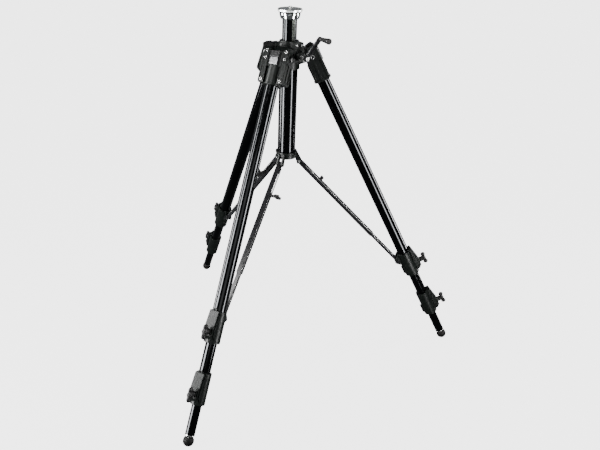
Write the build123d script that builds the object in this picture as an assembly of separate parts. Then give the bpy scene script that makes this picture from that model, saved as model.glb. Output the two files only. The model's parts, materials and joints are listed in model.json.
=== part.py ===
from build123d import *
from math import atan2, cos, degrees, hypot, pi, radians, sin, tan
import os

# Studio camera tripod: three telescopic legs, a telescopic mid-level spreader
# and a geared centre column. Millimetres. The model is drawn standing on z = 0
# with the column on the Z axis, then lowered so that the origin is the centre
# of the head plate's top face.

# ---- driving dimensions ----
PLATE_Z = 1193.5  # top face of the head plate above the floor
PLATE_R = 37.0
PLATE_THICK = 8.5
STUD_R = 4.7625  # 3/8 inch camera stud
STUD_OUT = 6.5
STUD_ROOT_R = 6.0
COLLAR_Z = 1164.0  # underside of the clamp collar below the plate
COLUMN_R = 22.5
COLUMN_BORE_R = 20.0
COLUMN_LOW_Z = 770.0
SLEEVE_R = 28.7
SLEEVE_BORE_R = 27.0
SLEEVE_TOP_Z = 1040.0
SLEEVE_LOW_Z = 729.0
LIP_R = 26.4  # lip of the spreader collar under the sleeve's end
HUB_R = 34.0
HUB_LOW_Z = 1016.0
HUB_TOP_Z = 1096.0
RUNNING = 0.06  # radial clearance of a turning or sliding fit

LEG_AZIMUTHS = {"right": 0, "rear": 120, "front": 240}
LEG_LEAN = 27.455  # leg axis from the vertical, degrees
FOOT_RADIUS = 609.6  # foot centre from the column axis
FOOT_BALL_R = 17.0
PIVOT_S = 1174.0  # leg pivot, along the leg from the foot centre
TUBE_R = [20.0, 17.5, 15.0]  # upper, middle and lower leg tubes
TUBE_WALL = 1.6
UPPER_TUBE = (352.0, 1146.0)
MID_TUBE = (163.0, 1040.0)
LOWER_TUBE = (20.0, 930.0)
BUSH_LENGTH = 20.0

LUG_HALF = 21.4  # shoulder lug between the two cheeks of a leg
CHEEK_IN, CHEEK_OUT = 22.0, 40.0
CHEEK_FRONT = 22.0
PIVOT_R = 6.0
SOCKET_R = 26.0
CLAMP_LENGTH = 101.0
UPPER_CLAMP_S, LOWER_CLAMP_S = 304.0, 115.0
CLAMP_SEAM = 48.0  # lower end of a tube inside its clamp
KNOB_RISE = 36.0  # clamp knob above the clamp's lower edge
EAR_PIVOT = (-32.0, 375.0)  # brace pivot on the upper clamp: outward, along the leg
EAR_IN, EAR_OUT = 7.2, 11.0

BRACE_PIVOT = (42.0, 714.0)  # brace pivot on the spreader collar: radius, height
CHANNEL_HALF = (7.5, 7.9)
CHANNEL_WALL = 1.6
CHANNEL_END = 380.0
BRACE_KNOB = 112.0  # knob bolt along the brace
BAR_HALF = (5.6, 6.0)
BAR_TOP = 100.0

# ---- column drive, in the vertical plane between the right and front legs ----
DRIVE_AZIMUTH = -60
DRIVE_Z = 1062.0
RACK_MODULE = 1.5
RACK_HALF = 5.5
RACK_BACK = 21.3
RACK_PITCH = 24.4
PINION_TEETH = 14
MITRE_TEETH = 12
MITRE_PITCH_R = 15.6
MITRE_INNER = 0.79  # inner end of the mitre teeth as a share of the outer end
HOUSING_FACE = 19.5  # outer face of the gear housing from the pinion axis
CRANK_ARM_AT = 90.0  # inner face of the crank arm from the column axis
CRANK_ARM_LENGTH = 71.0
CRANK_ARM_ANGLE = 49.6
LOCK_Z = 1085.0

PINION_PITCH_R = RACK_MODULE * PINION_TEETH / 2
PINION_AT = RACK_PITCH + PINION_PITCH_R
PINION_TIP_R = PINION_PITCH_R + 1.3
lean = radians(LEG_LEAN)


def leg_point(outward, along):
    """Radius and height of a point given across and along a leg's axis."""
    radius = FOOT_RADIUS - along * sin(lean) + outward * cos(lean)
    return radius, FOOT_BALL_R + along * cos(lean) + outward * sin(lean)


PIVOT = leg_point(0, PIVOT_S)
EAR = leg_point(*EAR_PIVOT)
BRACE_LENGTH = hypot(EAR[0] - BRACE_PIVOT[0], EAR[1] - BRACE_PIVOT[1])
BRACE_TILT = degrees(atan2(EAR[0] - BRACE_PIVOT[0], BRACE_PIVOT[1] - EAR[1]))
drive = Rot(0, 0, DRIVE_AZIMUTH)
parts = {}


def ring(outer, inner, low, high):
    """Tube along Z between two heights."""
    length = high - low
    middle = Pos(0, 0, (low + high) / 2)
    return middle * (Cylinder(outer, length) - Cylinder(inner, length))


def rod(radius, low, high):
    return Pos(0, 0, (low + high) / 2) * Cylinder(radius, high - low)


def rod_x(radius, low, high):
    return Pos((low + high) / 2, 0, 0) * Rot(0, 90, 0) * Cylinder(radius, high - low)


def rod_y(radius, low, high):
    return Pos(0, (low + high) / 2, 0) * Rot(90, 0, 0) * Cylinder(radius, high - low)


def block(x, y, z):
    """Box from its ranges along X, Y and Z."""
    centre = Pos(sum(x) / 2, sum(y) / 2, sum(z) / 2)
    return centre * Box(x[1] - x[0], y[1] - y[0], z[1] - z[0])


def plate_xz(outline, y, corner=0.0):
    """Plate of an outline in X and Z, between two values of Y."""
    wire = Polyline(*[(x, 0, z) for x, z in outline], close=True)
    face = make_face(wire)
    if corner:
        face = fillet(face.vertices(), corner)
    return Pos(0, y[1], 0) * extrude(face, y[1] - y[0], dir=(0, -1, 0))


def lathe(outline):
    """Solid of revolution about Z from (radius, height) points."""
    wire = Polyline(*[(r, 0, z) for r, z in outline], close=True)
    return revolve(make_face(wire), Axis.Z)


def add(name, *solids):
    parts[name] = list(solids)


# ---- head plate, collar and stud ----
def head():
    low = PLATE_Z - PLATE_THICK
    plate = lathe([
        (STUD_ROOT_R, low), (PLATE_R - 2.5, low), (PLATE_R, low + 1.5),
        (PLATE_R, PLATE_Z - 1.5), (PLATE_R - 1.5, PLATE_Z), (STUD_ROOT_R, PLATE_Z),
    ])
    collar = lathe([
        (COLUMN_R, COLLAR_Z), (27.0, COLLAR_Z), (29.0, COLLAR_Z + 3),
        (31.5, COLLAR_Z + 12), (31.5, low - 2.5), (29.5, low - 2), (29.5, low),
        (COLUMN_R, low),
    ])
    stud = rod(STUD_ROOT_R, low, PLATE_Z) + rod(STUD_R, PLATE_Z, PLATE_Z + STUD_OUT)
    add("head_plate", plate)
    add("plate_collar", collar)
    add("head_stud", stud)


# ---- column tube and rack ----
def column():
    top = PLATE_Z - PLATE_THICK
    slot = drive * block((RACK_BACK, 30), (-RACK_HALF, RACK_HALF), (COLUMN_LOW_Z, COLLAR_Z))
    add("column_tube", ring(COLUMN_R, COLUMN_BORE_R, COLUMN_LOW_Z, top) - slot)
    pitch = pi * RACK_MODULE
    root, tip = RACK_PITCH - 1.6, RACK_PITCH + 1.3
    half_root, half_tip = 0.36 * pitch, 0.11 * pitch
    outline = [(RACK_BACK, COLUMN_LOW_Z + 2)]
    first = int((COLUMN_LOW_Z + 6 - DRIVE_Z) / pitch)
    last = int((COLLAR_Z - 8 - DRIVE_Z) / pitch)
    outline.append((root, COLUMN_LOW_Z + 2))
    for i in range(first, last):
        z = DRIVE_Z + (i + 0.5) * pitch
        outline += [(root, z - half_root), (tip, z - half_tip)]
        outline += [(tip, z + half_tip), (root, z + half_root)]
    outline += [(root, COLLAR_Z - 1), (RACK_BACK, COLLAR_Z - 1)]
    add("column_rack", drive * plate_xz(outline, (-RACK_HALF, RACK_HALF)))


# ---- shoulder casting, guide sleeve and spreader collar ----
def shoulder():
    hub = rod(HUB_R, HUB_LOW_Z, HUB_TOP_Z) + rod(30.0, HUB_TOP_Z, HUB_TOP_Z + 5)
    for azimuth in LEG_AZIMUTHS.values():
        with BuildSketch(Plane.XZ) as side:
            with Locations(PIVOT):
                Circle(13)
            with Locations((28, 1059)):
                Rectangle(8, 54)
            make_hull()
        lug = Pos(0, LUG_HALF, 0) * extrude(side.sketch, 2 * LUG_HALF)
        bore = Pos(PIVOT[0], 0, PIVOT[1]) * rod_y(PIVOT_R + RUNNING, -LUG_HALF, LUG_HALF)
        hub += Rot(0, 0, azimuth) * (lug - bore)
    lock = Pos(0, 0, LOCK_Z) * Rot(0, 0, 180)
    hub += lock * rod_x(10, 28, 42)
    hub -= rod(COLUMN_R + RUNNING, HUB_LOW_Z, HUB_TOP_Z + 5)
    hub -= rod(SLEEVE_R, HUB_LOW_Z, SLEEVE_TOP_Z)
    hub -= lock * rod_x(4 + RUNNING, 20, 42)
    hub -= drive * block((20, 26.4), (-RACK_HALF - 0.4, RACK_HALF + 0.4), (HUB_LOW_Z, 1110))
    hub -= drive * Pos(PINION_AT, 0, DRIVE_Z) * rod_y(17.4, -17.6, 17.6)
    hub -= drive * Pos(PINION_AT, 0, DRIVE_Z) * rod_y(3.5 + RUNNING, -25, 25)
    add("shoulder_casting", hub)
    add("guide_sleeve", ring(SLEEVE_R, SLEEVE_BORE_R, SLEEVE_LOW_Z, SLEEVE_TOP_Z))
    return hub


def spreader_collar():
    band = ring(33.0, SLEEVE_R, SLEEVE_LOW_Z - 2, 748) + ring(35.0, SLEEVE_R, 744, 748)
    band += ring(SLEEVE_R, LIP_R, SLEEVE_LOW_Z - 2, SLEEVE_LOW_Z)
    for azimuth in LEG_AZIMUTHS.values():
        for low, high in ((-10.5, -6.0), (6.0, 10.5)):
            outline = [(29, 745), (35, 745), (51, 716), (50, 707), (36, 705), (29, 727)]
            band += Rot(0, 0, azimuth) * plate_xz(outline, (low, high), 1.5)
        pivot = Pos(BRACE_PIVOT[0], 0, BRACE_PIVOT[1]) * rod_y(3, -11, 11)
        band -= Rot(0, 0, azimuth) * pivot
    band -= rod(SLEEVE_R, SLEEVE_LOW_Z, 760)
    band -= rod(LIP_R, 700, SLEEVE_LOW_Z)
    add("spreader_collar", band)


# ---- gears of the column drive ----
def mitre_gear(shaft_r):
    """Mitre gear with its apex at the origin, its axis along +Z and a tooth towards +X."""
    thick = 0.42 * 2 * pi * MITRE_PITCH_R / MITRE_TEETH
    sections = [(-1.9, thick * 0.72), (0.0, thick / 2), (1.2, thick * 0.34)]
    corner = [(MITRE_PITCH_R + h / 2**0.5, w, MITRE_PITCH_R - h / 2**0.5) for h, w in sections]
    left = [(x, -w, z) for x, w, z in corner]
    outer = make_face(Polyline(*corner, *reversed(left), close=True))
    tooth = loft([outer, outer.scale(MITRE_INNER)], ruled=True)
    root_r = MITRE_PITCH_R - 1.8 / 2**0.5
    root_z = MITRE_PITCH_R + 1.8 / 2**0.5
    body = lathe([
        (0, root_z * MITRE_INNER), (root_r * MITRE_INNER, root_z * MITRE_INNER),
        (root_r, root_z), (0, root_z),
    ])
    for i in range(MITRE_TEETH):
        body += Rot(0, 0, i * 360 / MITRE_TEETH) * tooth
    return body - rod(shaft_r, 0, 40)


def pinion():
    """Spur pinion along Y with a tooth towards -X."""
    pitch = 360 / PINION_TEETH
    root_r = PINION_PITCH_R - 1.5
    points = []
    for i in range(PINION_TEETH):
        middle = 180 + i * pitch
        for r, share in ((root_r, -0.31), (PINION_PITCH_R, -0.2), (PINION_TIP_R, -0.1),
                         (PINION_TIP_R, 0.1), (PINION_PITCH_R, 0.2), (root_r, 0.31)):
            angle = radians(middle + share * pitch)
            points.append((r * cos(angle), r * sin(angle)))
    return plate_xz(points, (-RACK_HALF, RACK_HALF))


def drive_train(hub):
    centre = drive * Pos(PINION_AT, 0, DRIVE_Z)
    half_tooth = 180 / MITRE_TEETH
    cross = pinion() + rod_y(3.5, -18.9, 18.9)
    cross += Rot(-90, 0, 0) * Rot(0, 0, half_tooth) * mitre_gear(3.4)
    add("drive_pinion", centre * cross)
    nose_end = 70.0 - PINION_AT
    arm = CRANK_ARM_AT - PINION_AT
    shaft = rod_x(6, 14, arm + 10) + Rot(0, 90, 0) * mitre_gear(5.9)
    shaft += rod_x(9.5, nose_end + 0.4, arm) + rod_x(8, arm + 6.2, arm + 10)
    add("crank_shaft", centre * shaft)

    outer = block((-8, HOUSING_FACE), (-19.2, 19.2), (-19.2, 19.2))
    outer = fillet(outer.edges().filter_by(Axis.X), 3)
    outer += block((-8, HOUSING_FACE), (-16, 16), (0, 41))
    outer = fillet(outer.edges().filter_by(Axis.X).group_by(Axis.Z)[-1], 6)
    outer += rod_x(15, 17, nose_end)
    outer = chamfer(outer.edges().group_by(Axis.X)[-1], 1.5)
    outer -= rod_y(17.4, -17.6, 17.6)
    outer -= rod_x(17.0, 0, 17.4)
    outer -= rod_x(6 + RUNNING, 10, 60)
    outer -= rod_y(3.5 + RUNNING, -20, 20)
    housing = centre * outer - hub - rod(HUB_R - 4, 1000, 1110)
    add("gear_housing", max(housing.solids(), key=lambda s: s.volume))


# ---- crank arm with its turning grip, and the column lock ----
def crank():
    start = drive * Pos(CRANK_ARM_AT, 0, DRIVE_Z) * Rot(CRANK_ARM_ANGLE - 90, 0, 0)
    bar = block((0, 6), (-6.5, 6.5), (0, CRANK_ARM_LENGTH))
    bar += rod_x(9, 0, 6) + Pos(0, 0, CRANK_ARM_LENGTH) * rod_x(6.5, 0, 6)
    bar -= block((3, 6), (-3.5, 3.5), (13, CRANK_ARM_LENGTH - 10))
    bar -= rod_x(6, 0, 6)
    tip = Pos(0, 0, CRANK_ARM_LENGTH)
    bar += tip * rod_x(3, 5, 47)
    add("crank_arm", start * bar)
    outline = [
        (3 + RUNNING, 6.4), (6.0, 6.4), (6.6, 9), (6.2, 18), (7.6, 36), (9.0, 47),
        (8.6, 51), (6.5, 53), (0, 53), (0, 48.5), (3 + RUNNING, 48.5),
    ]
    add("crank_grip", start * tip * Rot(0, 90, 0) * lathe(outline))


def column_lock():
    knob = rod_x(4, 24.2, 44) + rod_x(7, 42.4, 49) + rod_x(9, 49, 80)
    knob = fillet(knob.edges().group_by(Axis.X)[-1], 3)
    for i in range(8):
        knob -= Rot(45 * i, 0, 0) * Pos(0, 0, 10) * rod_x(2, 52, 76)
    add("column_lock_knob", Rot(0, 0, 180) * Pos(0, 0, LOCK_Z) * knob)


def root_fasteners():
    """Brace pins, and the cap screws of the gear housing."""
    pins = []
    for azimuth in LEG_AZIMUTHS.values():
        pin = rod_y(3, -12.5, 12.5) + rod_y(4.5, -12.5, -10.5) + rod_y(4.5, 10.5, 12.5)
        pins.append(Rot(0, 0, azimuth) * Pos(BRACE_PIVOT[0], 0, BRACE_PIVOT[1]) * pin)
    for side in (-1, 1):
        screw = Pos(PINION_AT + HOUSING_FACE, side * 9, DRIVE_Z + 32) * rod_x(3.5, 0, 2.5)
        pins.append(drive * screw)
    add("shoulder_pins", *pins)


# ---- leg parts, drawn with +Z up the leg, +X outward and +Y across ----
def yoke():
    body = rod(SOCKET_R, 1090, 1147) + rod(SOCKET_R + 2, 1088, 1093)
    outline = [
        (-22, 1094), (-24, 1150), (-19, 1172), (-6, 1200), (14, 1203),
        (CHEEK_FRONT, 1192), (CHEEK_FRONT, 1092),
    ]
    for side in (-1, 1):
        reach = sorted((side * CHEEK_IN, side * CHEEK_OUT))
        cheek = plate_xz(outline, reach, 4)
        outer = sorted((side * (CHEEK_OUT - 2.5), side * (CHEEK_OUT + 1)))
        cheek -= plate_xz([(-18, 1100), (-19, 1150), (-6, 1152), (-6, 1100)], outer)
        cheek -= plate_xz([(0, 1100), (0, 1152), (16, 1158), (16, 1100)], outer)
        boss = Pos(0, 0, PIVOT_S) * rod_y(11.5, *sorted((side * (CHEEK_OUT - 1), side * (CHEEK_OUT + 1.5))))
        body += cheek + boss
    bridge = block((14.8, CHEEK_FRONT - 2), (-CHEEK_IN, CHEEK_IN), (1143, 1190))
    body += bridge - block((10, 30), (-8.3, 8.3), (1153, 1165))
    body -= rod(TUBE_R[0], 1080, UPPER_TUBE[1])
    body -= Pos(0, 0, PIVOT_S) * rod_y(PIVOT_R, -50, 50)
    return body


def leg_bolts():
    """Pivot bolt, socket screws and the two brace bolt heads of one leg."""
    bolt = rod_y(PIVOT_R, -CHEEK_OUT - 1.5, CHEEK_OUT + 1.5)
    for side in (-1, 1):
        reach = sorted((side * (CHEEK_OUT + 1.5), side * (CHEEK_OUT + 4)))
        bolt += rod_y(8.5, *reach)
    solids = [Pos(0, 0, PIVOT_S) * bolt]
    head = rod_x(4.2, CHEEK_FRONT, CHEEK_FRONT + 1.6) - rod_x(2.2, CHEEK_FRONT + 0.6, CHEEK_FRONT + 4)
    for side in (-1, 1):
        for along in (1101, 1166, 1188):
            solids.append(Pos(0, side * 31, along) * head)
        reach = sorted((side * EAR_OUT, side * (EAR_OUT + 4)))
        solids.append(Pos(EAR_PIVOT[0], 0, EAR_PIVOT[1]) * rod_y(5, *reach))
    return solids


def latch():
    face = CHEEK_FRONT - 1.7
    body = block((face, 29), (-12, 12), (1148, 1170))
    body = chamfer(body.edges().filter_by(Axis.Y).group_by(Axis.X)[-1], 2)
    body += block((face, 27), (-12.5, 12.5), (1170, 1188))
    return body + block((15.4, face), (-8, 8), (1153.3, 1164.7))


def clamp(low, tube_r, body_r, bore_low, ears):
    """Leg clamp casting: tube collar, outer screw housing, inner rib and brace ears."""
    high = low + CLAMP_LENGTH
    body = rod(body_r, low, high - 6)
    housing = [
        (8, high - 3), (29, high - 3), (40, low + 44), (40, low + 24), (30, low + 12), (8, low + 12),
    ]
    body += plate_xz(housing, (-15, 15))
    body += plate_xz([(x - 8, z) for x, z in housing[1:5]], (-17.5, 17.5))
    inner = -body_r - 5
    rib = [(-10, low + 3), (inner + 7, low + 3), (inner, low + 14), (inner, low + 40), (-10, low + 40)]
    body += plate_xz(rib, (-5, 5))
    for side in (-1, 1):
        if ears:
            across, along = EAR_PIVOT
            ear = [
                (-10, high - 3), (-22, high - 3), (across - 9, along + 7), (across - 10, along - 3),
                (across - 5, along - 9), (-20, low + 46), (-10, low + 46),
            ]
            body += plate_xz(ear, sorted((side * EAR_IN, side * EAR_OUT)))
        for across in (0.45, 0.8):
            rib = block((10 - 12 * across, 14 - 12 * across), (-3, 3), (low + 3, low + 40))
            body += Pos(0, side * body_r * across, 0) * rib
        body += block((25, 28), sorted((side * 4, side * 7)), (high - 6, high + 4))
    body += block((25, 28), (-7, 7), (high + 2, high + 4))
    body -= rod(tube_r, low + CLAMP_SEAM, high + 10)
    body -= rod(bore_low + RUNNING, low - 5, low + CLAMP_SEAM)
    body -= Pos(0, 0, low + KNOB_RISE) * rod_x(4 + RUNNING, 10, 45)
    return body


def wing_knob(low):
    """Wing knob along +X that clamps the tube below."""
    knob = rod_x(4, 19, 42) + rod_x(8, 40.4, 60) + block((53.5, 63), (-4.5, 4.5), (-15, 15))
    for end in (-15, 15):
        knob += Pos(59, 0, end) * rod_y(6.5, -5, 5)
    return Pos(0, 0, low + KNOB_RISE) * knob


def leg_tube(radius, span):
    return ring(radius, radius - TUBE_WALL, *span)


def tube_with_bush(radius, outer_bore, span):
    top = (span[1] - BUSH_LENGTH, span[1])
    return leg_tube(radius, span), ring(outer_bore - 2 * RUNNING, radius, *top)


def foot():
    bore = TUBE_R[2] - TUBE_WALL
    spike = rod(bore, 20, 42) + rod(TUBE_R[2], 18, 20) + rod(4, -9, 20)
    spike += Pos(0, 0, -11) * Cone(0.8, 4, 4)
    ball = Sphere(FOOT_BALL_R) - block((-20, 20), (-20, 20), (12, 20))
    ball -= rod(9, 8, 13)
    ball -= rod(4 + RUNNING, -20, 20)
    return spike, ball


# ---- brace parts, drawn with +Z from the collar pivot to the clamp pivot ----
def brace():
    wide, deep = CHANNEL_HALF
    channel = block((-wide, wide), (-deep, deep), (13, CHANNEL_END))
    inner = (-wide + CHANNEL_WALL, wide + 1)
    side = deep - CHANNEL_WALL
    channel -= block(inner, (-side, side), (26, CHANNEL_END))
    channel -= block((-3.6, 3.6), (0, 10), (BRACE_KNOB - 77, BRACE_KNOB + 4))
    channel += block((-wide, wide), (-5.6, 5.6), (0, 20)) + rod_y(7.5, -5.6, 5.6)
    channel -= rod_y(3 + RUNNING, -10, 10)
    low = BRACE_LENGTH
    bar = block((-BAR_HALF[0], BAR_HALF[0]), (-BAR_HALF[1], BAR_HALF[1]), (BAR_TOP, low))
    bar += Pos(0, 0, low) * rod_y(BAR_HALF[0], -BAR_HALF[1], BAR_HALF[1])
    bar -= Pos(0, 0, BRACE_KNOB) * rod_y(3.2 + RUNNING, -10, 10)
    knob = rod_y(3.2, -4, 12) + rod_y(6.5, deep + 0.3, deep + 2.5) + rod_y(4.5, deep + 1, 28)
    wings = block((-12.5, 12.5), (24, 41), (-4, 4)) - Pos(0, 46, 0) * rod(9, -5, 5)
    knob += fillet(wings.edges().filter_by(Axis.Z), 2.5)
    return channel, bar, Pos(0, 0, BRACE_KNOB) * knob


def legs():
    spike, ball = foot()
    mid_bore = TUBE_R[0] - TUBE_WALL
    low_bore = TUBE_R[1] - TUBE_WALL
    pieces = {
        "yoke": [yoke()],
        "leg_bolts": leg_bolts(),
        "angle_latch": [latch()],
        "upper_tube": [leg_tube(TUBE_R[0], UPPER_TUBE)],
        "upper_clamp": [clamp(UPPER_CLAMP_S, TUBE_R[0], 25.0, TUBE_R[1], True)],
        "upper_knob": [wing_knob(UPPER_CLAMP_S)],
        "middle_tube": tube_with_bush(TUBE_R[1], mid_bore, MID_TUBE),
        "lower_clamp": [clamp(LOWER_CLAMP_S, TUBE_R[1], 23.0, TUBE_R[2], False)],
        "lower_knob": [wing_knob(LOWER_CLAMP_S)],
        "lower_tube": tube_with_bush(TUBE_R[2], low_bore, LOWER_TUBE),
        "foot_spike": [spike],
        "rubber_foot": [ball],
    }
    channel, bar, knob = brace()
    braces = {"brace_channel": [channel], "brace_bar": [bar], "brace_knob": [knob]}
    for leg, azimuth in LEG_AZIMUTHS.items():
        turn = Rot(0, 0, azimuth)
        on_leg = turn * Pos(FOOT_RADIUS, 0, FOOT_BALL_R) * Rot(0, -LEG_LEAN, 0)
        on_brace = turn * Pos(BRACE_PIVOT[0], 0, BRACE_PIVOT[1]) * Rot(0, 180 - BRACE_TILT, 0)
        for name, solids in pieces.items():
            add(f"{leg}_{name}", *[on_leg * s for s in solids])
        for name, solids in braces.items():
            add(f"{leg}_{name}", *[on_brace * s for s in solids])


head()
column()
hub_solid = shoulder()
spreader_collar()
drive_train(hub_solid)
crank()
column_lock()
root_fasteners()
legs()

os.makedirs("parts", exist_ok=True)
for name, solids in parts.items():
    lowered = [Pos(0, 0, -PLATE_Z) * s for s in solids]
    export_step(lowered[0] if len(lowered) == 1 else Compound(children=lowered), f"parts/{name}.step")
print(len(parts), "nodes, brace length", round(BRACE_LENGTH, 2), "tilt", round(BRACE_TILT, 3))
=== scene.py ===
import json
import math

import bpy
import bmesh
from mathutils import Matrix, Vector


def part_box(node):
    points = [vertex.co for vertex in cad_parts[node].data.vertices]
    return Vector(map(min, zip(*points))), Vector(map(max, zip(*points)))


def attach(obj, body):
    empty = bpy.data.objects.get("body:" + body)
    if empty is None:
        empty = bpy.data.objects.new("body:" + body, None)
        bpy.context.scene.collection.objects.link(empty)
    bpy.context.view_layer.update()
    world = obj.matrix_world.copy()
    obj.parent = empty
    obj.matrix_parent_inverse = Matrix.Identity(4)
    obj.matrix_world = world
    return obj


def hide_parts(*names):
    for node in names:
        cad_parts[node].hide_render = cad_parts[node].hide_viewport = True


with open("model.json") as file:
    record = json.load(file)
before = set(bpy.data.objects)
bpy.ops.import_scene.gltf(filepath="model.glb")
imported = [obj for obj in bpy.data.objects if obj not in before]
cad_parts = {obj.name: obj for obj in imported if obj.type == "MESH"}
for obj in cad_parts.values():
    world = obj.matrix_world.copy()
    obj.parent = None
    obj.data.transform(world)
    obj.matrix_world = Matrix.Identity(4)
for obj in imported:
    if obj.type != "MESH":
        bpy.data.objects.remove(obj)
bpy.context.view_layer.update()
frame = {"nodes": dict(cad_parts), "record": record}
record = frame["record"]
scene = bpy.context.scene

LEGS = {"right": 0, "rear": 120, "front": 240}
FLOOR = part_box("right_rubber_foot")[0][2]
TAU = 2 * math.pi

# Places and angles of the object, in metres above the floor and degrees.
FOOT_REACH, FOOT_HEIGHT, LEG_LEAN = 0.6096, 0.017, 27.455
KNOB_ALONG_LEG = {"upper": 0.340, "lower": 0.151}
BRACE_PIN_REACH, BRACE_PIN_HEIGHT, BRACE_LEAN = 0.042, 0.714, 44.025
CRANK_AZIMUTH, CRANK_REACH, CRANK_HEIGHT, CRANK_LIFT = -60, 0.09, 1.062, 49.6
STUD_PITCH = 0.00159
PLATE_GROOVES = 7000.0

CAMERA_AZIMUTH, CAMERA_ELEVATION, CAMERA_ROLL = 4.43, 25.74, 1.83
CAMERA_LENS, CAMERA_SHIFT = 39.49, (0.0150, -0.0077)
CAMERA_PLACE = (-0.1345, -2.0298, FLOOR + 1.4751)

# Name, bearing, distance, height, size, power and the height aimed at.
LAMPS = (
    ("card_left", -150, 1.4, 0.8, (0.36, 1.7), 170, 0.8),
    ("card_right", -45, 1.5, 0.75, (0.26, 1.8), 120, 0.75),
    ("far_left", 172, 1.9, 1.2, (0.3, 2.2), 150, 0.9),
    ("far_right", 8, 1.9, 1.2, (0.25, 2.2), 130, 0.9),
    ("overhead", -125, 1.5, 2.6, (0.7, 0.7), 70, 0.9),
    ("front_fill", -95, 2.8, 1.5, (1.5, 1.4), 22, 1.0),
)
FLOOR_RADIUS, FLOOR_CURVE, WALL_TOP, CEILING = 9, 4.0, 14, 16
FLOOR_COLOUR, FLOOR_GLOW = (0.004, 0.004, 0.004, 1), 3.8


# ---- camera ----
def make_camera():
    azimuth, elevation, roll = (
        math.radians(a) for a in (CAMERA_AZIMUTH, CAMERA_ELEVATION, CAMERA_ROLL))
    forward = Vector((math.sin(azimuth) * math.cos(elevation),
                      math.cos(azimuth) * math.cos(elevation), -math.sin(elevation)))
    level = Vector((math.cos(azimuth), -math.sin(azimuth), 0))
    above = level.cross(forward)
    right = level * math.cos(roll) + above * math.sin(roll)
    up = above * math.cos(roll) - level * math.sin(roll)
    data = bpy.data.cameras.new("camera")
    data.lens = CAMERA_LENS
    data.shift_x, data.shift_y = CAMERA_SHIFT
    camera = bpy.data.objects.new("camera", data)
    scene.collection.objects.link(camera)
    matrix = Matrix((right, up, -forward)).transposed().to_4x4()
    camera.matrix_world = Matrix.Translation(CAMERA_PLACE) @ matrix
    scene.camera = camera


# ---- light ----
def area(name, azimuth, distance, height, size, power, aim):
    """Soft box at a bearing from the column, aimed at a height above the floor."""
    data = bpy.data.lights.new(name, "AREA")
    data.shape = "RECTANGLE"
    data.size, data.size_y = size
    data.energy = power
    lamp = bpy.data.objects.new(name, data)
    scene.collection.objects.link(lamp)
    bearing = math.radians(azimuth)
    across = (distance * math.cos(bearing), distance * math.sin(bearing))
    place = Vector((*across, FLOOR + height))
    target = Vector((0, 0, FLOOR + aim))
    lamp.location = place
    lamp.rotation_euler = (target - place).to_track_quat("-Z", "Y").to_euler()
    lamp.visible_camera = False


def make_light():
    for lamp in LAMPS:
        area(*lamp)
    world = bpy.data.worlds.new("studio")
    scene.world = world
    world.use_nodes = True
    background = world.node_tree.nodes["Background"]
    background.inputs["Color"].default_value = (0.9, 0.95, 1.0, 1)
    background.inputs["Strength"].default_value = 0.22


def make_floor():
    """Pale floor that curves up into a backdrop on all sides."""
    mesh = bpy.data.meshes.new("floor")
    bm = bmesh.new()
    outline = [(0.001, 0)]
    for degrees in range(0, 91, 10):
        a = math.radians(degrees)
        rise = FLOOR_CURVE - FLOOR_CURVE * math.cos(a)
        outline.append((FLOOR_RADIUS + FLOOR_CURVE * math.sin(a), rise))
    outline += [(FLOOR_RADIUS + FLOOR_CURVE, WALL_TOP), (0.001, CEILING)]
    rings = []
    for i in range(48):
        a = TAU * i / 48
        rings.append([bm.verts.new((r * math.cos(a), r * math.sin(a), z)) for r, z in outline])
    for near, far in zip(rings, rings[1:] + rings[:1]):
        for j in range(len(outline) - 1):
            bm.faces.new((near[j], far[j], far[j + 1], near[j + 1]))
    bm.to_mesh(mesh)
    bm.free()
    floor = bpy.data.objects.new("floor", mesh)
    floor.location = (0, 0, FLOOR - 0.0005)
    scene.collection.objects.link(floor)
    floor.visible_diffuse = False
    floor.visible_glossy = False
    floor.visible_transmission = False
    floor.visible_shadow = False
    material = bpy.data.materials.new("floor_paper")
    material.use_nodes = True
    shader = material.node_tree.nodes["Principled BSDF"]
    shader.inputs["Base Color"].default_value = FLOOR_COLOUR
    shader.inputs["Roughness"].default_value = 0.9
    shader.inputs["Emission Color"].default_value = (1, 1, 1, 1)
    shader.inputs["Emission Strength"].default_value = FLOOR_GLOW
    mesh.materials.append(material)


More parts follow.
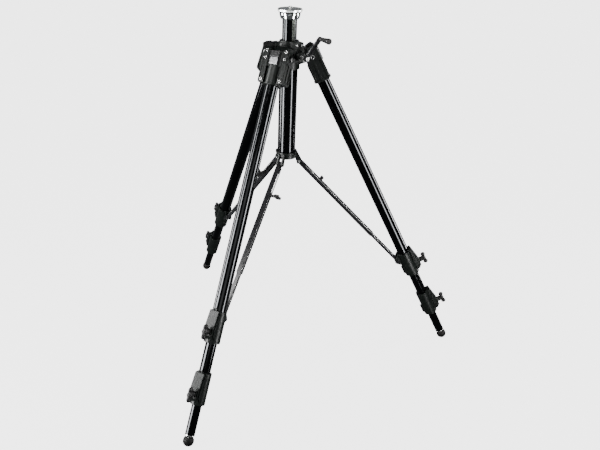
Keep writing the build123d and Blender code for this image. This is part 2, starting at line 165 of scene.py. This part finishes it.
# ---- materials ----
class Nodes:
    """A principled material with short calls for its procedural nodes."""

    def __init__(self, name, color, roughness, metallic=0.0, **sockets):
        self.material = bpy.data.materials.new(name)
        self.material.use_nodes = True
        self.tree = self.material.node_tree
        self.shader = self.tree.nodes["Principled BSDF"]
        self.set("Base Color", (*color, 1))
        self.set("Roughness", roughness)
        self.set("Metallic", metallic)
        for socket, value in sockets.items():
            self.set(socket.replace("_", " "), value)
        self.place = self.tree.nodes.new("ShaderNodeTexCoord").outputs["Object"]
        self.normal = None

    def set(self, socket, value):
        self.shader.inputs[socket].default_value = value

    def link(self, output, socket):
        self.tree.links.new(output, self.shader.inputs[socket])

    def math(self, operation, *values):
        node = self.tree.nodes.new("ShaderNodeMath")
        node.operation = operation
        for socket, value in zip(node.inputs, values):
            if isinstance(value, (int, float)):
                socket.default_value = value
            else:
                self.tree.links.new(value, socket)
        return node.outputs[0]

    def noise(self, scale, detail=4.0, stretch=(1, 1, 1), roughness=0.55):
        mapping = self.tree.nodes.new("ShaderNodeMapping")
        mapping.inputs["Scale"].default_value = stretch
        self.tree.links.new(self.place, mapping.inputs["Vector"])
        node = self.tree.nodes.new("ShaderNodeTexNoise")
        node.inputs["Scale"].default_value = scale
        node.inputs["Detail"].default_value = detail
        node.inputs["Roughness"].default_value = roughness
        self.tree.links.new(mapping.outputs[0], node.inputs["Vector"])
        return node.outputs["Fac"]

    def ramp(self, value, low, high, start=0.3, stop=0.7):
        node = self.tree.nodes.new("ShaderNodeMapRange")
        node.inputs["From Min"].default_value = start
        node.inputs["From Max"].default_value = stop
        node.inputs["To Min"].default_value = low
        node.inputs["To Max"].default_value = high
        self.tree.links.new(value, node.inputs["Value"])
        return node.outputs["Result"]

    def tint(self, value, first, second, start=0.3, stop=0.7):
        node = self.tree.nodes.new("ShaderNodeValToRGB")
        node.color_ramp.elements[0].position = start
        node.color_ramp.elements[1].position = stop
        node.color_ramp.elements[0].color = (*first, 1)
        node.color_ramp.elements[1].color = (*second, 1)
        self.tree.links.new(value, node.inputs["Fac"])
        self.link(node.outputs["Color"], "Base Color")

    def bump(self, height, distance, strength=1.0):
        node = self.tree.nodes.new("ShaderNodeBump")
        node.inputs["Distance"].default_value = distance
        node.inputs["Strength"].default_value = strength
        self.tree.links.new(height, node.inputs["Height"])
        if self.normal is not None:
            self.tree.links.new(self.normal, node.inputs["Normal"])
        self.normal = node.outputs["Normal"]
        self.link(self.normal, "Normal")

    def soften(self, radius):
        """Rounds the look of sharp edges."""
        node = self.tree.nodes.new("ShaderNodeBevel")
        node.samples = 4
        node.inputs["Radius"].default_value = radius
        self.normal = node.outputs["Normal"]
        self.link(self.normal, "Normal")

    def axes(self):
        """Distances along X, Y and Z from the column's axis."""
        node = self.tree.nodes.new("ShaderNodeSeparateXYZ")
        self.tree.links.new(self.place, node.inputs[0])
        return node.outputs


def black_tube():
    m = Nodes("black_anodised_tube", (0.01, 0.01, 0.01), 0.12, 1.0)
    m.link(m.ramp(m.noise(60, 6), 0.09, 0.16), "Roughness")
    m.tint(m.noise(25, 5), (0.0085, 0.0088, 0.0092), (0.013, 0.0134, 0.014))
    m.bump(m.noise(900, 2), 0.00002, 0.35)
    return m.material


def casting():
    m = Nodes("textured_casting", (0.002, 0.0023, 0.002), 0.36, 0.0, Specular_IOR_Level=0.08)
    m.soften(0.0009)
    grain = m.noise(1500, 4, roughness=0.7)
    m.tint(m.noise(90, 5), (0.0005, 0.0007, 0.0006), (0.0018, 0.0024, 0.002))
    m.link(m.ramp(grain, 0.24, 0.44), "Roughness")
    m.bump(grain, 0.00025, 0.55)
    m.bump(m.noise(160, 3), 0.0004, 0.15)
    return m.material


def spun_plate():
    m = Nodes("spun_plate", (0.42, 0.43, 0.42), 0.2, 1.0)
    m.set("Anisotropic", 0.75)
    x, y = m.axes()[:2]
    square = m.math("ADD", m.math("MULTIPLY", x, x), m.math("MULTIPLY", y, y))
    groove = m.math("SINE", m.math("MULTIPLY", m.math("SQRT", square), PLATE_GROOVES))
    m.link(m.ramp(m.noise(2500, 2), 0.16, 0.34), "Roughness")
    m.bump(groove, 0.00002, 0.5)
    tangent = m.tree.nodes.new("ShaderNodeTangent")
    tangent.direction_type = "RADIAL"
    tangent.axis = "Z"
    m.link(tangent.outputs[0], "Tangent")
    return m.material


def polished(name, color, low, high, grain=(1, 1, 1)):
    m = Nodes(name, color, low, 1.0)
    m.soften(0.0005)
    m.link(m.ramp(m.noise(600, 4, grain), low, high), "Roughness")
    dark = tuple(0.75 * c for c in color)
    m.tint(m.noise(140, 4), dark, color)
    m.bump(m.noise(1400, 3, grain), 0.00003, 0.35)
    return m.material


def stud_steel():
    m = Nodes("threaded_steel", (0.5, 0.5, 0.49), 0.26, 1.0)
    x, y, z = m.axes()
    angle = m.math("ARCTAN2", y, x)
    turn = m.math("ADD", m.math("MULTIPLY", z, TAU / STUD_PITCH), angle)
    m.link(m.ramp(m.noise(900, 3), 0.2, 0.4), "Roughness")
    m.bump(m.math("SINE", turn), 0.0004, 0.9)
    return m.material


def plastic(name, color, low, high, specular=0.5):
    m = Nodes(name, color, low, 0.0, Specular_IOR_Level=specular)
    m.soften(0.0007)
    grain = m.noise(2200, 3)
    m.link(m.ramp(m.noise(110, 5), low, high), "Roughness")
    m.tint(m.noise(70, 4), color, tuple(1.9 * c for c in color))
    m.bump(grain, 0.00008, 0.4)
    return m.material


def rubber():
    m = Nodes("foot_rubber", (0.001, 0.001, 0.001), 0.6, 0.0, Specular_IOR_Level=0.04)
    m.tint(m.noise(240, 6), (0.0005, 0.0005, 0.0005), (0.0018, 0.0017, 0.0016))
    m.link(m.ramp(m.noise(500, 4), 0.42, 0.7), "Roughness")
    m.bump(m.noise(1800, 3), 0.0001, 0.4)
    return m.material


def rack():
    m = Nodes("rack_steel", (0.03, 0.032, 0.03), 0.35, 1.0)
    m.tint(m.noise(300, 5), (0.012, 0.013, 0.012), (0.05, 0.053, 0.048))
    m.link(m.ramp(m.noise(700, 4), 0.25, 0.5), "Roughness")
    m.bump(m.noise(1600, 3), 0.00008, 0.5)
    return m.material


MATERIALS = {
    "plate_metal": spun_plate(),
    "collar_metal": polished("polished_collar", (0.4, 0.41, 0.4), 0.06, 0.14),
    "steel": polished("bright_steel", (0.46, 0.46, 0.45), 0.16, 0.34),
    "black_tube": black_tube(),
    "rack_steel": rack(),
    "casting_paint": casting(),
    "black_metal": plastic("black_metal", (0.0018, 0.0018, 0.002), 0.14, 0.26, 0.08),
    "grip_plastic": plastic("grip_plastic", (0.0022, 0.0022, 0.0022), 0.28, 0.42, 0.1),
    "knob_plastic": plastic("knob_plastic", (0.0016, 0.0016, 0.0016), 0.3, 0.46, 0.06),
    "latch_metal": polished("bright_casting", (0.12, 0.12, 0.122), 0.3, 0.46),
    "foot_rubber": rubber(),
}
STUD = stud_steel()


def dress_nodes():
    for part in record["subparts"]:
        node = frame["nodes"][part["node"]]
        material = MATERIALS[part["material_slot"]]
        if part["node"] == "head_stud":
            material = STUD
        if part["node"].endswith("leg_bolts"):
            material = MATERIALS["black_metal"]
        node.data.materials.clear()
        node.data.materials.append(material)


# ---- detail pieces ----
def solid(name, build, place, slot, body):
    """Detail piece, put in its place and attached to a body."""
    mesh = bpy.data.meshes.new(name)
    bm = bmesh.new()
    build(bm)
    bm.transform(place)
    bmesh.ops.recalc_face_normals(bm, faces=bm.faces)
    bm.to_mesh(mesh)
    bm.free()
    piece = bpy.data.objects.new(name, mesh)
    scene.collection.objects.link(piece)
    mesh.materials.append(MATERIALS[slot])
    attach(piece, body)
    return piece


def add_box(bm, x, y, z):
    size = (x[1] - x[0], y[1] - y[0], z[1] - z[0])
    centre = (sum(x) / 2, sum(y) / 2, sum(z) / 2)
    matrix = Matrix.Translation(centre) @ Matrix.Diagonal((*size, 1))
    bmesh.ops.create_cube(bm, size=1, matrix=matrix)


def add_lathe(bm, outline, segments=40):
    """Solid of revolution about Z from a closed outline of (radius, height)."""
    rings = []
    for i in range(segments):
        a = TAU * i / segments
        rings.append([bm.verts.new((r * math.cos(a), r * math.sin(a), z)) for r, z in outline])
    for i in range(segments):
        near, far = rings[i], rings[(i + 1) % segments]
        for j in range(len(outline)):
            k = (j + 1) % len(outline)
            bm.faces.new((near[j], far[j], far[k], near[k]))


def shift(x, y, z):
    return Matrix.Translation((x, y, z))


def leg_place(azimuth):
    """Leg frame: Z up the leg from the foot's centre, X outward, Y across."""
    turn = Matrix.Rotation(math.radians(azimuth), 4, "Z")
    foot = shift(FOOT_REACH, 0, FLOOR + FOOT_HEIGHT)
    return turn @ foot @ Matrix.Rotation(math.radians(-LEG_LEAN), 4, "Y")


def brace_place(azimuth):
    """Brace frame: Z down the brace from its collar pin, X down and inward, Y across."""
    turn = Matrix.Rotation(math.radians(azimuth), 4, "Z")
    pin = shift(BRACE_PIN_REACH, 0, FLOOR + BRACE_PIN_HEIGHT)
    return turn @ pin @ Matrix.Rotation(math.radians(180 - BRACE_LEAN), 4, "Y")


ALONG_X = Matrix.Rotation(math.radians(90), 4, "Y")
ALONG_Y = Matrix.Rotation(math.radians(-90), 4, "X")


def grip_pad(bm):
    add_box(bm, (0.0271, 0.0282), (-0.0121, 0.0121), (1.1708, 1.1876))
    for i in range(7):
        z = 1.1722 + 0.0022 * i
        add_box(bm, (0.0282, 0.0291), (-0.0115, 0.0115), (z, z + 0.0011))


def ring_outline(inner, outer, low, high):
    return [(inner, low), (outer, low), (outer, high), (inner, high)]


def knob_washer(bm):
    add_lathe(bm, ring_outline(0.0042, 0.0092, 0.0401, 0.0412), 32)


def leg_details():
    for leg, azimuth in LEGS.items():
        place = leg_place(azimuth)
        solid(f"{leg}_latch_grip", grip_pad, place, "grip_plastic", f"{leg}_latch")
        for end, along in KNOB_ALONG_LEG.items():
            knob = f"{leg}_{end}"
            centre = place @ shift(0, 0, along) @ ALONG_X
            solid(f"{knob}_knob_washer", knob_washer, centre, "rack_steel", f"{knob}_knob")
            wing_knob(knob, centre)
        solid(f"{leg}_yoke_ribs", yoke_ribs, place, "casting_paint", f"{leg}_leg")
        solid(f"{leg}_bolt_rings", bolt_rings, place, "steel", f"{leg}_leg")
        solid(f"{leg}_foot_washer", foot_washer, place, "steel", f"{leg}_foot")
        along_brace = brace_place(azimuth)
        solid(f"{leg}_channel_strip", channel_strip, along_brace, "steel", f"{leg}_channel")
        solid(f"{leg}_bar_strip", bar_strip, along_brace, "steel", f"{leg}_bar")


def wing_knob(knob, centre):
    """Moulded wing knob with rounded lobes."""
    piece = solid(f"{knob}_wing", wing_shape, centre, "knob_plastic", f"{knob}_knob")
    shell = piece.modifiers.new("shell", "REMESH")
    shell.mode = "VOXEL"
    shell.voxel_size = 0.0008
    shell.use_smooth_shade = True
    smooth = piece.modifiers.new("smooth", "SMOOTH")
    smooth.factor = 0.5
    smooth.iterations = 5
    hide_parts(f"{knob}_knob")


def wing_shape(bm):
    hub = [(0.0001, 0.0405), (0.0087, 0.0405), (0.0093, 0.043), (0.0088, 0.051),
           (0.0094, 0.058), (0.0078, 0.0636), (0.0001, 0.0644)]
    add_lathe(bm, hub, 32)
    add_lathe(bm, ring_outline(0.0001, 0.004, 0.03, 0.042), 24)
    add_box(bm, (-0.0155, 0.0155), (-0.0058, 0.0058), (0.0525, 0.0632))
    for side in (-1, 1):
        place = shift(side * 0.0152, 0, 0.0588) @ Matrix.Diagonal((0.0078, 0.0068, 0.008, 1))
        bmesh.ops.create_uvsphere(bm, u_segments=24, v_segments=14, radius=1, matrix=place)


def foot_washer(bm):
    """Bright washer let into the top of the rubber ball, around the spike's shank."""
    add_lathe(bm, ring_outline(0.0048, 0.0086, 0.0078, 0.0098), 32)


def channel_strip(bm):
    """Bright raised lines along both sides of the brace channel."""
    for side in (-1, 1):
        add_box(bm, (-0.0056, -0.003), sorted((side * 0.0079, side * 0.0081)), (0.028, 0.377))


def bar_strip(bm):
    """Bright raised lines along both sides of the sliding bar."""
    for side in (-1, 1):
        add_box(bm, (-0.0037, -0.0015), sorted((side * 0.006, side * 0.00615)), (0.102, 0.498))


def yoke_ribs(bm):
    """Raised borders of the yoke's cheeks, on their front and side faces."""
    face, foot = 0.0215, 1.098
    for side in (-1, 1):
        for near, far in ((0.0225, 0.0242), (0.0375, 0.0398)):
            across = sorted((side * near, side * far))
            add_box(bm, (face, 0.0232), across, (foot, 1.186))
        for low in (1.1125, 1.1545):
            across = sorted((side * 0.0242, side * 0.0375))
            add_box(bm, (face, 0.0228), across, (low, low + 0.0022))
        across = sorted((side * 0.0395, side * 0.0414))
        add_box(bm, (0.0185, 0.0212), across, (foot, 1.188))
        add_box(bm, (-0.0235, -0.0212), across, (foot, 1.146))
        add_box(bm, (-0.021, 0.0185), across, (1.0955, 1.0978))


def bolt_rings(bm):
    """Bright rims of the yoke screws and of the pivot bolt's heads."""
    for side in (-1, 1):
        for along in (1.101, 1.166, 1.188):
            ring = bmesh.new()
            add_lathe(ring, ring_outline(0.0027, 0.004, 0, 0.0003), 24)
            ring.transform(shift(0.0236, side * 0.031, along) @ ALONG_X)
            merge(bm, ring)
        ring = bmesh.new()
        add_lathe(ring, ring_outline(0.0045, 0.0062, 0, 0.0004), 28)
        ring.transform(shift(0, side * 0.0441, 1.174) @ ALONG_Y)
        merge(bm, ring)


def merge(bm, other):
    """Adds another bmesh to this one."""
    mesh = bpy.data.meshes.new("part")
    other.to_mesh(mesh)
    other.free()
    bm.from_mesh(mesh)
    bpy.data.meshes.remove(mesh)


def crank_details():
    turn = Matrix.Rotation(math.radians(CRANK_AZIMUTH), 4, "Z")
    lift = Matrix.Rotation(math.radians(CRANK_LIFT) - math.pi / 2, 4, "X")
    place = turn @ shift(CRANK_REACH, 0, CRANK_HEIGHT + FLOOR) @ lift
    solid("crank_inlay", crank_inlay, place, "latch_metal", "crank")
    solid("crank_cap", crank_cap, place @ ALONG_X, "black_metal", "crank")
    # near-black ring under the plate: painted shade of the groove between the plate and its
    # collar
    solid("plate_groove_shade", plate_groove_shade, Matrix(), "black_metal", "column")
    solid("crank_screw", crank_screw, place @ ALONG_X, "steel", "crank")


def crank_inlay(bm):
    add_box(bm, (0.0008, 0.0052), (-0.0068, -0.0064), (0.009, 0.062))


def crank_cap(bm):
    outline = [(0.0061, 0.0061), (0.0092, 0.0061), (0.0092, 0.0095), (0.008, 0.0104),
               (0.0061, 0.0104)]
    add_lathe(bm, outline, 32)


def crank_screw(bm):
    outline = [(0.0018, 0.0098), (0.0058, 0.0098), (0.0055, 0.0107), (0.0018, 0.0107)]
    add_lathe(bm, outline, 24)


def plate_groove_shade(bm):
    """Dark ring between the plate's rim and its collar, painted shade of the groove there."""
    add_lathe(bm, ring_outline(0.0296, 0.0336, -0.0112, -0.0087), 64)


make_camera()
make_light()
make_floor()
dress_nodes()
leg_details()
crank_details()
